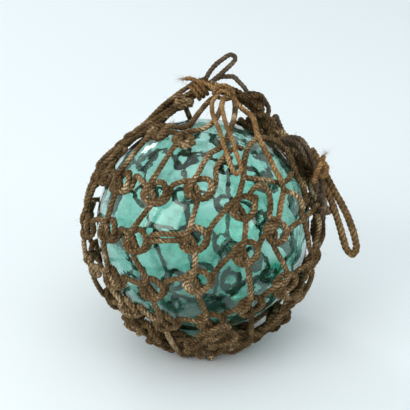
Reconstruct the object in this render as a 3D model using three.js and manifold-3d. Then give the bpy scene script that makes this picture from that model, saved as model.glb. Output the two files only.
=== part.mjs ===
// A glass float ball in its knotted rope net: a sealed ball of sea-green glass, the net that
// was tied round it, the cord that lashes the net's mouth, and two loops of cord that hang
// from it. Millimetres, +Z up. The origin is on the ground, under the middle of the ball.
import * as THREE from 'three';
import { mergeVertices } from 'three/addons/utils/BufferGeometryUtils.js';
import Module from 'manifold-3d';

const wasm = await Module();
wasm.setup();

// The ball and how it lies
const BALL_RADIUS = 150;
const BED_THICKNESS = 22; // bunched net between the ball and the ground
const TOUCH_GAP = 0.3; // between pieces that lie against each other

// The net
const NET_CORD = 8; // diameter of the cord
const KNOTS_ROUND = 15; // knots in one turn round the ball
const ROUND_STEP = 22; // degrees from one round of knots down to the next
const SPIRAL_ROUNDS = 3; // rounds that the spiral climbs in one turn
const KNOT_RADIUS = 18; // from a knot's middle to the middle of its ring of cord
const KNOT_CORD = 9; // the doubled cord of the ring
const FRONT_COLUMN_EAST = -2; // degrees, of column 2, from the front
const FRONT_COLUMN_NORTH = 43; // degrees up from the equator, of column 2 in round 0
const HIGHEST_KNOT = 48; // degrees north, above it the legs run to the mouth
const HIGHEST_SLIPPED_KNOT = 72; // but knots seen at the top of the front reach this far
const LOWEST_KNOT = -49; // degrees south, below it the legs run to the start knot
const CLOSE_LIFT = 10; // the knots' middles stand this far off the glass at the top
const SIDE_LIFT = 16; // at the equator
const LOOSE_LIFT = 26; // and under the ball, where the net hangs loose
const TOP_LEG_LIFT = 8; // long legs at the top lie this far off the glass
const START_RADIUS = 64; // the net's start, a flat wad of loose meshes under the ball
const START_FORWARD = 18; // it has slid this far towards the front
const START_EDGE = 10; // how high its edge stands
const START_EDGE_ROUND = 4; // how far the edge is rounded off
const START_SLOPE = 24; // its top rises to the glass over this distance from the edge

// The net's mouth
const BUNDLE_RADIUS = 10; // the drawn-up legs where the lashing binds them
const MOUTH_ROPE = 15; // the bunched edge of the net along its mouth
const LOOP_CORD = 7.5; // the stiff loops that stand up from the mouth

// The cords that are tied on
const LASHING_CORD = 7;
const LASHING_TURNS = 3;
const BIGHT_CORD = 6.5;
const BECKET_CORD = 10;

// How finely round things are faceted
const CORD_SIDES = 8;
const CORD_STEP = 16;
const LOOP_SIDES = 5;
const LOOP_STEP = 9;
const EDGE_STEP = 28;
const LASHING_SIDES = 8;
const BUNCH_DETAIL = 1;
const BALL_DETAIL = 5;

// Knots that have slipped from their places: [round, column, degrees east, degrees north].
// Those that would lie in the mouth are pushed out beyond the highest and aren't there.
const SLIPPED = [
  [-1, 0, -24, 11], [-1, 1, -1, 9],
  [0, -1, -6, 5], [0, 0, -6, 4], [0, 1, -3, 1], [0, 2, 0, 1], [0, 3, 0, 40],
  [1, 0, 0, 4], [1, 1, -6, 0], [1, 2, -2, 0], [1, 3, 0, 8], [1, 4, 4, 2],
  [1, 5, 0, 40], [1, 6, 0, 40],
  [2, 0, 4, 3], [2, 1, 3, 1], [2, 2, 0, 3], [2, 3, -2, 10], [2, 4, -9, 11], [2, 5, 0, 60],
  [3, 0, 10, 9], [3, 1, 7, 2], [3, 2, 6, 1], [3, 3, 1, 4], [3, 4, -5, 6], [3, 5, -5, 3],
  [4, 3, 10, -5], [4, 4, 9, 9], [4, 5, 6, -2],
];

// The places below are given on this ball, and follow the real one's size and place
const DRAWN_BALL = { centre: [0, 0, 172], radius: 150 };

// Places along the mouth, from the top down the right side, where bunched meshes lie, and the
// gather of legs at the foot of the bundle
const GATHER = { at: [-30, 71, 329], size: [19, 16, 12] };
const MOUTH_BUNCHES = [
  { at: [66, 72, 329], size: [17, 14, 13] },
  { at: [88, 66, 300], size: [14, 13, 15] },
  { at: [125, 47, 275], size: [15, 14, 14] },
  { at: [144, 35, 250], size: [13, 15, 19] },
  { at: [162, 10, 205], size: [12, 15, 24] },
];

// The bundle of drawn-up legs that the lashing binds
const BUNDLE = [[-30, 74, 331], [10, 88, 354]];
const LASHING_AT = 0.58; // share of the bundle's length
const LASHING_KNOT = { at: [29, 64, 345], size: [14, 11, 11] };

// Routes of single cords, as they lie
const MOUTH_START = [[6, 86, 351], [38, 80, 342]];
const STANDING_LOOP = [
  [3, 89, 355], [8, 95, 364], [18, 101, 375], [29, 107, 382], [37, 111, 386], [43, 113, 385],
  [46, 112, 381], [43, 109, 376], [33, 103, 368], [22, 96, 360], [8, 86, 351],
];
const LOW_LOOP = [
  [9, 90, 348], [17, 97, 354], [26, 101, 357], [36, 103, 357], [44, 104, 356], [51, 101, 350],
  [60, 94, 342], [66, 80, 330],
];
const SIDE_LOOP = [
  [74, 84, 329], [82, 95, 332], [90, 92, 322], [94, 89, 314], [93, 83, 306], [90, 72, 298],
];
const THIN_LOOP = [
  [94, 68, 292], [99, 79, 298], [104, 84, 305], [108, 80, 297], [113, 70, 288], [122, 54, 277],
];
const LASHING_TAIL = [
  [-27, 80, 361], [-18, 79, 362], [-8, 78, 359], [4, 75, 356], [16, 70, 351], [26, 66, 347],
];
// Legs of the net that leave the pattern near the mouth: from a side of one knot, by its round
// and column, to a side of another or into the mouth's edge
const LONG_LEGS = [
  {
    from: '1,3,top',
    to: '3,5,top',
    route: [
      [52, -92, 294], [54, -69, 308], [65, -48, 314], [84, -20, 305], [104, -2, 294], [119, -10, 280],
      [133, -40, 258], [141, -70, 236], [143, -83, 212], [145, -85, 187],
    ],
  },
  { from: '1,4,top', route: [[98, -80, 272], [87, -59, 303], [76, -34, 321], [60, 18, 330], [60, 70, 331]] },
  { from: '0,2,top', route: [[8, -78, 313], [25, -58, 316], [38, -20, 329], [44, 30, 333], [44, 74, 338]] },
  { from: '2,4,right', to: '2,6,left', route: [[136, -66, 217], [150, -38, 214]] },
  { from: '0,-1,top', to: '2,13,right', route: [] },
  { from: '2,9,top', to: '1,8,right', route: [] },
];
const HANGING_BIGHT = [
  [21, 45, 350], [14, 33, 346], [12, 10, 343], [15, -20, 339], [21, -42, 333], [25, -61, 325],
  [29, -76, 317], [33, -90, 309], [37, -100, 302], [42, -104, 297], [48, -99, 301], [46, -88, 308],
  [41, -72, 318], [38, -59, 326], [32, -41, 333], [28, -15, 340], [26, 12, 344], [28, 34, 347],
  [31, 43, 350],
];
const BECKET = [
  [153, 52, 268], [161, 40, 258], [169, 30, 246], [177, 20, 232], [185, 10, 219], [194, 1, 205],
  [202, -8, 191], [208, -16, 177], [213, -22, 162], [215, -27, 149], [210, -30, 141],
  [202, -27, 147], [197, -21, 160], [193, -14, 173], [187, -5, 190], [181, 3, 206],
  [175, 10, 219], [168, 18, 231], [162, 26, 240], [158, 34, 249],
];

const FULL_TURN = 360;
const COLUMN_STEP = FULL_TURN / KNOTS_ROUND;
const COLUMN_RISE = (SPIRAL_ROUNDS * ROUND_STEP) / KNOTS_ROUND;
const BALL_HEIGHT = BALL_RADIUS + BED_THICKNESS;
const ballCentre = new THREE.Vector3(0, 0, BALL_HEIGHT);

const glass = new THREE.MeshStandardMaterial({ color: 0x5fc4ae, roughness: 0.08, metalness: 0 });
glass.transparent = true;
glass.opacity = 0.5;
const netRope = new THREE.MeshStandardMaterial({ color: 0x7d5a3c, roughness: 0.9, metalness: 0 });
const goldenCord = new THREE.MeshStandardMaterial({ color: 0x96602a, roughness: 0.9, metalness: 0 });
const becketRope = new THREE.MeshStandardMaterial({ color: 0x6a4a2c, roughness: 0.9, metalness: 0 });

// Geometry to solid and back
function solidOf(geometry) {
  const plain = geometry.clone();
  plain.deleteAttribute('normal');
  plain.deleteAttribute('uv');
  const merged = mergeVertices(plain, 1e-3);
  const vertProperties = new Float32Array(merged.attributes.position.array);
  const triVerts = new Uint32Array(merged.index.array);
  return new wasm.Manifold(new wasm.Mesh({ numProp: 3, vertProperties, triVerts }));
}

function meshOf(name, solid, material) {
  const { vertProperties, triVerts, numProp } = solid.getMesh();
  const geometry = new THREE.BufferGeometry();
  const places = new Float32Array((vertProperties.length / numProp) * 3);
  for (let i = 0; i < places.length / 3; i += 1) {
    for (let axis = 0; axis < 3; axis += 1) places[3 * i + axis] = vertProperties[numProp * i + axis];
  }
  geometry.setAttribute('position', new THREE.BufferAttribute(places, 3));
  geometry.setIndex(new THREE.BufferAttribute(new Uint32Array(triVerts), 1));
  geometry.computeVertexNormals();
  const mesh = new THREE.Mesh(geometry, material);
  mesh.name = name;
  return mesh;
}

const joined = (solids) => solids.reduce((all, next) => all.add(next));
const blend = (low, high, value) => THREE.MathUtils.smoothstep(value, low, high);

// Drawn places and sizes follow the ball's own size
const drawnCentre = new THREE.Vector3(...DRAWN_BALL.centre);
const drawnScale = BALL_RADIUS / DRAWN_BALL.radius;
const onBall = (place) => (
  new THREE.Vector3(...place).sub(drawnCentre).multiplyScalar(drawnScale).add(ballCentre)
);
const vectors = (points) => points.map(onBall);

// A cord along a smooth route; its section is a polygon of the given sides
function tube(points, diameter, sides, step) {
  const section = new THREE.Shape();
  for (let side = 0; side < sides; side += 1) {
    const angle = (2 * Math.PI * side) / sides;
    const [x, y] = [(diameter / 2) * Math.cos(angle), (diameter / 2) * Math.sin(angle)];
    if (side === 0) section.moveTo(x, y);
    else section.lineTo(x, y);
  }
  section.closePath();
  const extrudePath = new THREE.CatmullRomCurve3(points, false, 'centripetal');
  const steps = Math.ceil(extrudePath.getLength() / step);
  return solidOf(new THREE.ExtrudeGeometry(section, { steps, extrudePath, bevelEnabled: false }));
}

// A rounded bunch of cord
function bunch(at, size) {
  const lump = new THREE.IcosahedronGeometry(1, BUNCH_DETAIL);
  lump.scale(...size.map((half) => half * drawnScale));
  lump.translate(...onBall(at).toArray());
  return solidOf(lump);
}

// How far the net stands off the glass: close at the top, loose under the ball
function liftAt(north) {
  const upper = THREE.MathUtils.lerp(SIDE_LIFT, CLOSE_LIFT, blend(10, 50, north));
  return THREE.MathUtils.lerp(upper, LOOSE_LIFT, blend(25, 65, -north));
}

// A place over the glass, degrees east from the front and north from the equator. What
// hangs below the ground's level lies on the ground instead.
function overBall(east, north, lift) {
  const [e, n] = [THREE.MathUtils.degToRad(east), THREE.MathUtils.degToRad(north)];
  const outward = new THREE.Vector3(Math.sin(e) * Math.cos(n), -Math.cos(e) * Math.cos(n), Math.sin(n));
  const place = outward.multiplyScalar(BALL_RADIUS + lift).add(ballCentre);
  place.z = Math.max(place.z, KNOT_CORD / 2 - TOUCH_GAP);
  return place;
}

function knotAngles(round, column) {
  const slip = SLIPPED.find(([r, c]) => r === round && c === column);
  const [, , slipEast, slipNorth] = slip ?? [0, 0, 0, 0];
  return {
    slipped: Boolean(slip),
    east: FRONT_COLUMN_EAST + COLUMN_STEP * (column - 2) + slipEast,
    north: FRONT_COLUMN_NORTH - ROUND_STEP * round + COLUMN_RISE * (column - 2) + slipNorth,
  };
}

const firstColumn = -1;
const lastColumn = firstColumn + KNOTS_ROUND - 1;

// The spiral joins on to itself: one turn on is the same knot some rounds lower
function sameKnot(round, column) {
  if (column > lastColumn) return [round - SPIRAL_ROUNDS, column - KNOTS_ROUND];
  return [round, column];
}

function knotAt(round, column) {
  const { slipped, east, north } = knotAngles(round, column);
  const centre = overBall(east, north, liftAt(north));
  return { round, column, slipped, north, centre };
}

const allRounds = Array.from({ length: 16 }, (_, index) => index - 6);
const knots = new Map();
for (let column = firstColumn; column <= lastColumn; column += 1) {
  for (const round of allRounds) {
    const knot = knotAt(round, column);
    const highest = knot.slipped ? HIGHEST_SLIPPED_KNOT : HIGHEST_KNOT;
    if (knot.north <= highest && knot.north >= LOWEST_KNOT) knots.set(`${round},${column}`, knot);
  }
}

// A knot is a flat ring of doubled cord that lies against the ball's curve. Each quarter of
// the ring has one narrow facet, where a leg of the net can join it, and one round stretch.
const LEG_SIDES = ['right', 'top', 'left', 'bottom'];
const facetHalf = Math.asin(NET_CORD / 2 / (KNOT_RADIUS + KNOT_CORD / 2));
const quarterTurns = [-facetHalf, facetHalf, Math.PI / 4];
const ringCorners = [
  [0, KNOT_CORD / 2],
  [(KNOT_CORD / 2) * Math.cos(Math.PI / 6), -KNOT_CORD / 4],
  [-(KNOT_CORD / 2) * Math.cos(Math.PI / 6), -KNOT_CORD / 4],
];

// A knot lies square to its neighbours on the right and above
function knotFrame(knot) {
  const outward = new THREE.Vector3().subVectors(knot.centre, ballCentre).normalize();
  const towards = (other) => other.centre.clone().sub(knot.centre).normalize();
  const east = new THREE.Vector3(0, 0, 1).cross(outward);
  const right = knots.get(sameKnot(knot.round, knot.column + 1).join(','));
  const above = knots.get(`${knot.round - 1},${knot.column}`);
  if (right) east.add(towards(right));
  if (above) east.add(towards(above).cross(outward));
  east.addScaledVector(outward, -east.dot(outward)).normalize();
  return { outward, east, north: new THREE.Vector3().crossVectors(outward, east) };
}

// A leg of the top round joins the mouth at the nearest place along its edge
const MOUTH_LEG_BENDS = [0.5, 1]; // shares of its length
const MOUTH_LEG_STOP = 7; // each ends this far short of the middle of the edge
const MOUTH_PLACES = 40;
const mouthEdge = new THREE.CatmullRomCurve3(
  vectors([...MOUTH_START, ...MOUTH_BUNCHES.map((each) => each.at)]), false, 'centripetal',
);
const bundleLine = new THREE.LineCurve3(...vectors(BUNDLE));
const mouthPlaces = [bundleLine, mouthEdge].flatMap((curve) => curve.getPoints(MOUTH_PLACES));

function mouthLeg(knot) {
  const start = knot.centre.clone().addScaledVector(knotFrame(knot).north, KNOT_RADIUS);
  const byDistance = (a, b) => a.distanceTo(start) - b.distanceTo(start);
  const end = [...mouthPlaces].sort(byDistance)[0].clone();
  end.addScaledVector(start.clone().sub(end).normalize(), MOUTH_LEG_STOP);
  return MOUTH_LEG_BENDS.map((share) => {
    const outward = new THREE.Vector3().lerpVectors(start, end, share).sub(ballCentre);
    if (outward.length() < BALL_RADIUS + TOP_LEG_LIFT) outward.setLength(BALL_RADIUS + TOP_LEG_LIFT);
    return outward.add(ballCentre);
  });
}

// All the knots, the legs between them and the bunched start, as one closed surface
function netWeave() {
  const places = [];
  const index = [];
  const facets = new Map();
  const addQuad = (a, b, c, d) => index.push(a, b, c, a, c, d);
  const addPlace = (place) => places.push(...place.toArray()) / 3 - 1;
  const facetName = (knot, side) => `${knot.round},${knot.column},${side}`;

  const addRing = (knot) => {
    const { outward, east, north } = knotFrame(knot);
    const first = places.length / 3;
    const stations = 4 * quarterTurns.length;
    const corner = (station, k) => first + 3 * (station % stations) + (k % 3);
    for (let station = 0; station < stations; station += 1) {
      const [quarter, part] = [Math.floor(station / 3), station % 3];
      const angle = (Math.PI / 2) * quarter + quarterTurns[part];
      const radial = east.clone().multiplyScalar(Math.cos(angle)).addScaledVector(north, Math.sin(angle));
      for (const [across, height] of ringCorners) {
        const place = knot.centre.clone().addScaledVector(radial, KNOT_RADIUS + across);
        addPlace(place.addScaledVector(outward, height));
      }
      for (let k = 0; k < 3; k += 1) {
        const quad = [corner(station, k), corner(station, k + 1), corner(station + 1, k + 1), corner(station + 1, k)];
        if (part === 0 && k === 0) facets.set(facetName(knot, LEG_SIDES[quarter]), quad);
        else addQuad(...quad);
      }
    }
  };

  // Two facets that face each other are joined by a leg
  const joinFacets = (from, to) => {
    const [a, b] = [facets.get(from), facets.get(to)];
    if (!a || !b) return;
    for (let side = 0; side < 4; side += 1) {
      const next = (side + 1) % 4;
      addQuad(a[side], a[next], b[3 - next], b[3 - side]);
    }
    facets.delete(from);
    facets.delete(to);
  };

  // The start: a low round wad with one facet for each leg that comes in to it
  const addStart = (lowest) => {
    const half = Math.asin(NET_CORD / 2 / START_RADIUS);
    const bearing = ({ centre }) => Math.atan2(centre.y + START_FORWARD, centre.x);
    const legs = [...lowest].sort((a, b) => bearing(a) - bearing(b));
    const outline = [
      [START_RADIUS - START_EDGE_ROUND, 0], [START_RADIUS, START_EDGE - NET_CORD],
      [START_RADIUS - START_EDGE_ROUND, START_EDGE],
      [START_RADIUS - START_SLOPE, BED_THICKNESS - TOUCH_GAP],
    ];
    const first = places.length / 3;
    const stations = 2 * legs.length;
    const corner = (station, k) => first + outline.length * (station % stations) + k;
    for (const knot of legs) {
      for (const angle of [bearing(knot) - half, bearing(knot) + half]) {
        for (const [radius, z] of outline) {
          const [x, y] = [radius * Math.cos(angle), radius * Math.sin(angle) - START_FORWARD];
          addPlace(new THREE.Vector3(x, y, z));
        }
      }
    }
    const under = addPlace(new THREE.Vector3(0, -START_FORWARD, 0));
    const over = addPlace(new THREE.Vector3(0, -START_FORWARD, BED_THICKNESS - TOUCH_GAP));
    for (let station = 0; station < stations; station += 1) {
      index.push(corner(station + 1, 0), corner(station, 0), under);
      index.push(corner(station, 3), corner(station + 1, 3), over);
      for (let k = 0; k < 3; k += 1) {
        const quad = [corner(station + 1, k), corner(station + 1, k + 1), corner(station, k + 1), corner(station, k)];
        if (k === 1 && station % 2 === 0) facets.set(`start,${station / 2}`, quad);
        else addQuad(...quad);
      }
    }
    legs.forEach((knot, order) => joinFacets(facetName(knot, 'bottom'), `start,${order}`));
  };

  // A leg that grows from a facet along a route, and ends at another facet or in a flat cap
  const growLeg = (from, route, to) => {
    const last = route.reduce((behind, place, order) => {
      const before = route[order - 1] ?? new THREE.Vector3().fromArray(places, 3 * behind[0]);
      const along = new THREE.Vector3().subVectors(route[order + 1] ?? place, before).normalize();
      const outward = place.clone().sub(ballCentre);
      outward.addScaledVector(along, -outward.dot(along)).setLength(NET_CORD / 2);
      const side = new THREE.Vector3().crossVectors(outward, along);
      const section = [[-1, 1], [-1, -1], [1, -1], [1, 1]];
      const corners = section.map(([across, height]) => (
        addPlace(place.clone().addScaledVector(side, across).addScaledVector(outward, height))
      ));
      for (let edge = 0; edge < 4; edge += 1) {
        const next = (edge + 1) % 4;
        addQuad(behind[edge], behind[next], corners[next], corners[edge]);
      }
      return corners;
    }, facets.get(from));
    facets.delete(from);
    facets.set(`${from},end`, last);
    if (to) joinFacets(`${from},end`, to);
  };

  const all = [...knots.values()];
  all.forEach(addRing);
  const lowest = all.filter(({ round, column }) => !knots.has(`${round + 1},${column}`));
  addStart(lowest);
  for (const knot of all) {
    const { round, column } = knot;
    const right = sameKnot(round, column + 1).join(',');
    joinFacets(facetName(knot, 'right'), `${right},left`);
    joinFacets(facetName(knot, 'bottom'), `${round + 1},${column},top`);
  }
  for (const { from, to, route } of LONG_LEGS) {
    if (facets.has(from)) growLeg(from, vectors(route), to);
  }
  for (const knot of all) {
    const inMouth = mouthPlaces.some((place) => place.distanceTo(knot.centre) < 2 * KNOT_RADIUS);
    if (facets.has(facetName(knot, 'top')) && !inMouth) growLeg(facetName(knot, 'top'), mouthLeg(knot));
  }
  for (const quad of facets.values()) addQuad(...quad);

  const weave = new THREE.BufferGeometry();
  weave.setAttribute('position', new THREE.Float32BufferAttribute(places, 3));
  weave.setIndex(index);
  return solidOf(weave);
}

// The mouth: the bundle that the lashing binds, the bunched edge down the right side and the
// stiff loops that stand up from it
function mouthSolids() {
  return [
    tube(vectors(BUNDLE), 2 * BUNDLE_RADIUS, CORD_SIDES, bundleLine.getLength()),
    tube(mouthEdge.points, MOUTH_ROPE, LOOP_SIDES, EDGE_STEP),
    ...[GATHER, ...MOUTH_BUNCHES].map(({ at, size }) => bunch(at, size)),
    ...[STANDING_LOOP, LOW_LOOP, SIDE_LOOP, THIN_LOOP].map((route) => (
      tube(vectors(route), LOOP_CORD, LOOP_SIDES, LOOP_STEP)
    )),
  ];
}

// The lashing: turns round the bundle, a frayed tail, and the knot that the bight hangs from
function lashing(gap) {
  const inner = BUNDLE_RADIUS + TOUCH_GAP - gap;
  const middle = BUNDLE_RADIUS + TOUCH_GAP + LASHING_CORD / 2;
  const half = (LASHING_TURNS * LASHING_CORD) / 2 + gap;
  const profile = [new THREE.Vector2(inner, -half)];
  for (let turn = 0; turn < LASHING_TURNS; turn += 1) {
    const height = (turn - (LASHING_TURNS - 1) / 2) * LASHING_CORD;
    const swell = turn === 0 ? -gap : 0;
    profile.push(new THREE.Vector2(middle, height - LASHING_CORD / 2 + swell));
    profile.push(new THREE.Vector2(middle + LASHING_CORD / 2 + gap, height));
  }
  profile.push(new THREE.Vector2(middle, half), new THREE.Vector2(inner, half), profile[0]);
  const turns = new THREE.LatheGeometry(profile, LASHING_SIDES);
  const [foot, head] = vectors(BUNDLE);
  const along = head.clone().sub(foot).normalize();
  turns.applyQuaternion(new THREE.Quaternion().setFromUnitVectors(new THREE.Vector3(0, 1, 0), along));
  turns.translate(...foot.lerp(head, LASHING_AT).toArray());
  const knotSize = LASHING_KNOT.size.map((half) => half + gap);
  return joined([
    solidOf(turns),
    tube(vectors(LASHING_TAIL), LASHING_CORD + 2 * gap, LOOP_SIDES, LOOP_STEP),
    bunch(LASHING_KNOT.at, knotSize),
  ]);
}

// A cord that hangs free, or the room that it takes up with a gap all round
function hangingCord(route, diameter, gap) {
  const points = vectors(route);
  const lengthen = (end, next) => {
    end.addScaledVector(end.clone().sub(next).normalize(), gap);
  };
  lengthen(points[0], points[1]);
  lengthen(points.at(-1), points.at(-2));
  return tube(points, diameter + 2 * gap, CORD_SIDES, CORD_STEP);
}

const hangingBight = (gap) => hangingCord(HANGING_BIGHT, BIGHT_CORD, gap);
const becket = (gap) => hangingCord(BECKET, BECKET_CORD, gap);

const ball = solidOf(new THREE.IcosahedronGeometry(BALL_RADIUS, BALL_DETAIL))
  .translate(ballCentre.toArray());
const net = joined([netWeave(), ...mouthSolids()])
  .subtract(lashing(TOUCH_GAP))
  .subtract(becket(TOUCH_GAP));
const lashed = lashing(0).subtract(hangingBight(TOUCH_GAP));

const floatBall = new THREE.Group();
floatBall.name = 'netted_float_ball';
floatBall.add(meshOf('glass_ball', ball, glass));
floatBall.add(meshOf('rope_net', net, netRope));
floatBall.add(meshOf('lashing_cord', lashed, goldenCord));
floatBall.add(meshOf('hanging_bight', hangingBight(0), goldenCord));
floatBall.add(meshOf('becket_loop', becket(0), becketRope));

export default floatBall;
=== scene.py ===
"""A glass float ball in its knotted rope net, on a pale studio floor. Metres, in the part's
frame: +Z up, origin on the ground under the ball, seen from -Y."""
import math

import bmesh
import bpy
import numpy as np
from mathutils import Matrix, Vector, noise


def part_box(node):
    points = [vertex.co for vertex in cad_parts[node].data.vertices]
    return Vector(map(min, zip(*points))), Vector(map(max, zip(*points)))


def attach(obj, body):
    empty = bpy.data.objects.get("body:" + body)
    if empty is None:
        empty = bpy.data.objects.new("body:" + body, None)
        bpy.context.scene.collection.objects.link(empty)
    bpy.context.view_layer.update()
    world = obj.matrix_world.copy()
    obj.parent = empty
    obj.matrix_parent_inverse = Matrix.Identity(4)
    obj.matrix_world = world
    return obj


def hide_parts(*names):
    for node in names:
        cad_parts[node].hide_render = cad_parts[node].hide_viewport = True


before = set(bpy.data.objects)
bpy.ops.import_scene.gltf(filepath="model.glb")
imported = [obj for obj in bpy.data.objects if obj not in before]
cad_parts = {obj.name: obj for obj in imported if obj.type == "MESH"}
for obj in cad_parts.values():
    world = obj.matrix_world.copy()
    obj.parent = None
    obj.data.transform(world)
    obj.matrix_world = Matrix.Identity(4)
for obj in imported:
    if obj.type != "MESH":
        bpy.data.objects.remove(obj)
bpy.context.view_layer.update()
chance = np.random.default_rng(31)

# The ball, as the frame has it
ball_low, ball_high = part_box("glass_ball")
BALL_CENTRE = np.array((ball_low + ball_high) / 2)
BALL_RADIUS = (ball_high.z - ball_low.z) / 2
GLASS_WALL = 0.0045

# The net: its knots lie on one spiral, each named by its turn and its column
NET_CORD = 0.008
LOOP_CORD = 0.0075  # of the stiff loops at its mouth
NET_LAY = 0.018  # one turn of the strands
KNOTS_ROUND = 15
ROUND_STEP = 22.0  # degrees from one round of knots down to the next
SPIRAL_ROUNDS = 3
KNOT_SIZE = (0.72, 0.84)  # against the drawn knot
KNOT_TWIST = 0.10
KNOT_SHAKE, BUNCHED_KNOT_SHAKE = 0.0003, 0.0006
TOP_TURN, TOP_KNOT_SIZE = -1, 0.68  # the size against the other knots
SMALL_KNOT, SMALL_KNOT_SIZE = (1, 4), 0.55  # drawn up small, and no cord starts in it
BUNCHED_KNOT_TILT = 0.25
LEG_OVER = {(1, 3): (2, 4)}  # a right leg that goes over to the knot below and to the right
TURNS = range(-6, 10)  # more than the ball has room for
FRONT_COLUMN = 2
FRONT_COLUMN_EAST = -2.0
FRONT_COLUMN_NORTH = 43.0
HIGHEST_KNOT = 48.0
HIGHEST_SLIPPED_KNOT = 72.0
LOWEST_KNOT = -49.0
# How far the middles of the cords stand off the glass
CLOSE_LIFT = 0.010
SIDE_LIFT = 0.016
LOOSE_LIFT = 0.026
CLOSE_NORTH = (10, 50)  # degrees over which the net comes in close
LOOSE_SOUTH = (25, 65)  # degrees over which it comes loose
TOP_LEG_LIFT = 0.008
MOUTH_SPREAD = 0.0025  # of the legs where they meet the mouth
SLIPPED = {  # degrees east and north from the pattern
    (-1, 0): (-24, 11), (-1, 1): (-1, 9),
    (0, -1): (-6, 5), (0, 0): (-6, 4), (0, 1): (-3, 1), (0, 2): (0, 1), (0, 3): (0, 40),
    (1, 0): (0, 4), (1, 1): (-6, 0), (1, 2): (-2, 0), (1, 3): (0, 8), (1, 4): (4, 2),
    (1, 5): (0, 40), (1, 6): (0, 40),
    (2, 0): (4, 3), (2, 1): (3, 1), (2, 2): (0, 3), (2, 3): (-2, 10), (2, 4): (-9, 11),
    (2, 5): (0, 60),
    (3, 0): (10, 9), (3, 1): (7, 2), (3, 2): (6, 1), (3, 3): (1, 4), (3, 4): (-5, 6),
    (3, 5): (-5, 3),
    (4, 3): (10, -5), (4, 4): (9, 9), (4, 5): (6, -2),
}

# The net's start, bunched under the ball
START_CENTRE = np.array((0, -0.018, 0))
START_COILS = [(0.050, 0.0045), (0.056, 0.0105), (0.045, 0.0150), (0.038, 0.0090)]  # radius, height
START_RING = 0.062  # of the knots that lie on the ground
START_KNOTS = 12
START_KNOT_HEIGHT = 0.009
START_KNOT_HALF = 0.019
START_LEG = [(0.074, 0.010), (0.060, 0.006), (0.044, 0.011)]  # radius, height
COIL_POINTS = 19
COIL_SPREAD, COIL_RISE = 0.0018, 0.0015
# The crowded knots above them, in degrees east and north
LOW_LIFT = 0.021
LOW_KNOT_HALF = 0.017
LOW_KNOTS = [
    (-54, -44), (-42, -50), (-35, -41), (-27, -53), (-17, -58), (-11, -47), (0, -57), (10, -50),
    (19, -58), (29, -52), (43, -50), (56, -42), (75, -52), (98, -56), (122, -53), (150, -57),
    (180, -55), (210, -57), (240, -53), (268, -56), (292, -50),
]

# Routes of single cords in millimetres, as they lie
BUNDLE = [(-30, 74, 331), (10, 88, 354)]
MOUTH_START = [(6, 86, 351), (38, 80, 342)]
MOUTH_BUNCHES = [  # place and half size
    ((66, 72, 329), 15), ((88, 66, 300), 14), ((125, 47, 275), 15), ((144, 35, 250), 16),
    ((162, 10, 205), 17),
]
GATHER = ((-30, 72, 330), 12)
STANDING_LOOP = [
    (3, 89, 355), (8, 95, 364), (18, 101, 375), (29, 107, 382), (37, 111, 386), (43, 113, 385),
    (46, 112, 381), (43, 109, 376), (33, 103, 368), (22, 96, 360), (8, 86, 351),
]
LOOP_FOOT = [(5, 90, 358), (-10, 86, 354), (-27, 80, 345), (-44, 70, 335), (-60, 56, 326)]
LOW_LOOP = [
    (9, 90, 348), (17, 97, 354), (26, 101, 357), (36, 103, 357), (44, 104, 356), (51, 101, 350),
    (60, 94, 342), (66, 80, 330),
]
SIDE_LOOP = [
    (74, 84, 329), (82, 95, 332), (90, 92, 322), (94, 89, 314), (93, 83, 306), (90, 72, 298),
]
THIN_LOOP = [
    (94, 68, 292), (99, 79, 298), (104, 84, 305), (108, 80, 297), (113, 70, 288), (122, 54, 277),
]
LASHING_TAIL = [
    (-27, 80, 361), (-18, 79, 362), (-8, 78, 359), (4, 75, 356), (16, 70, 351), (26, 66, 347),
]
LASHING_HUMP = [
    (14, 70, 341), (17, 64, 350), (22, 60, 357), (30, 58, 359), (38, 58, 355), (42, 60, 346),
    (37, 63, 338), (28, 61, 338), (20, 58, 344), (24, 55, 352), (33, 54, 351), (36, 56, 343),
]
LASHING_AT = 0.58  # of the way up the bundle
LASHING_TURNS = 2.7
LASHING_POINTS = 60
BUNDLE_RADIUS = 0.0085  # inside the lashing
# Three cords wind round each of these routes: how far from it, and how many turns
BUNDLE_WIND = (0.0045, 0.2)
MOUTH_WIND = (0.0050, 1.7)
SIDE_WIND = (0.0048, 0.7)
MOUTH_ARCH = [
    (51, -103, 289), (52, -88, 301), (55, -71, 312), (59, -60, 316), (67, -44, 318), (77, -28, 316),
    (91, -14, 308), (104, 0, 296), (113, 3, 286), (119, -7, 280), (121, -27, 275), (126, -37, 265),
    (133, -42, 252), (137, -53, 241), (133, -69, 236), (129, -81, 231), (134, -80, 217),
    (139, -83, 198), (143, -85, 178),
]
GOLDEN_LEG = [
    (38, 63, 345), (44, 56, 339), (51, 45, 333), (59, 33, 330), (67, 19, 328), (72, -33, 321),
    (79, -50, 311), (87, -63, 300), (93, -71, 289), (101, -80, 278), (104, -86, 266),
    (101, -98, 256), (98, -110, 246), (95, -121, 234),
]
FRAYED_COIL = [
    (-10, -152, 84), (6, -154, 92), (22, -157, 104), (34, -151, 100), (26, -148, 86), (10, -150, 78),
    (18, -153, 96), (36, -146, 88), (44, -141, 76), (30, -140, 66), (12, -144, 64),
]
FRAYED_KNOT = [
    (151, -20, 246), (158, 4, 254), (166, 14, 262), (172, 12, 255), (165, 4, 244), (160, 10, 250),
    (165, 14, 266), (168, 14, 274),
]
KNOT_STUB = [(-59, -50, 323), (-52, -43, 328), (-46, -35, 334), (-41, -36, 339)]
LOOP_EAR = [
    (101, -80, 280), (105, -89, 268), (114, -84, 262), (122, -81, 256), (128, -79, 247),
    (131, -84, 236),
]
INNER_LINE = [
    (52, -96, 289), (67, -91, 284), (81, -83, 279), (95, -76, 273), (105, -67, 269), (114, -55, 269),
    (118, -41, 272),
]
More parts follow.
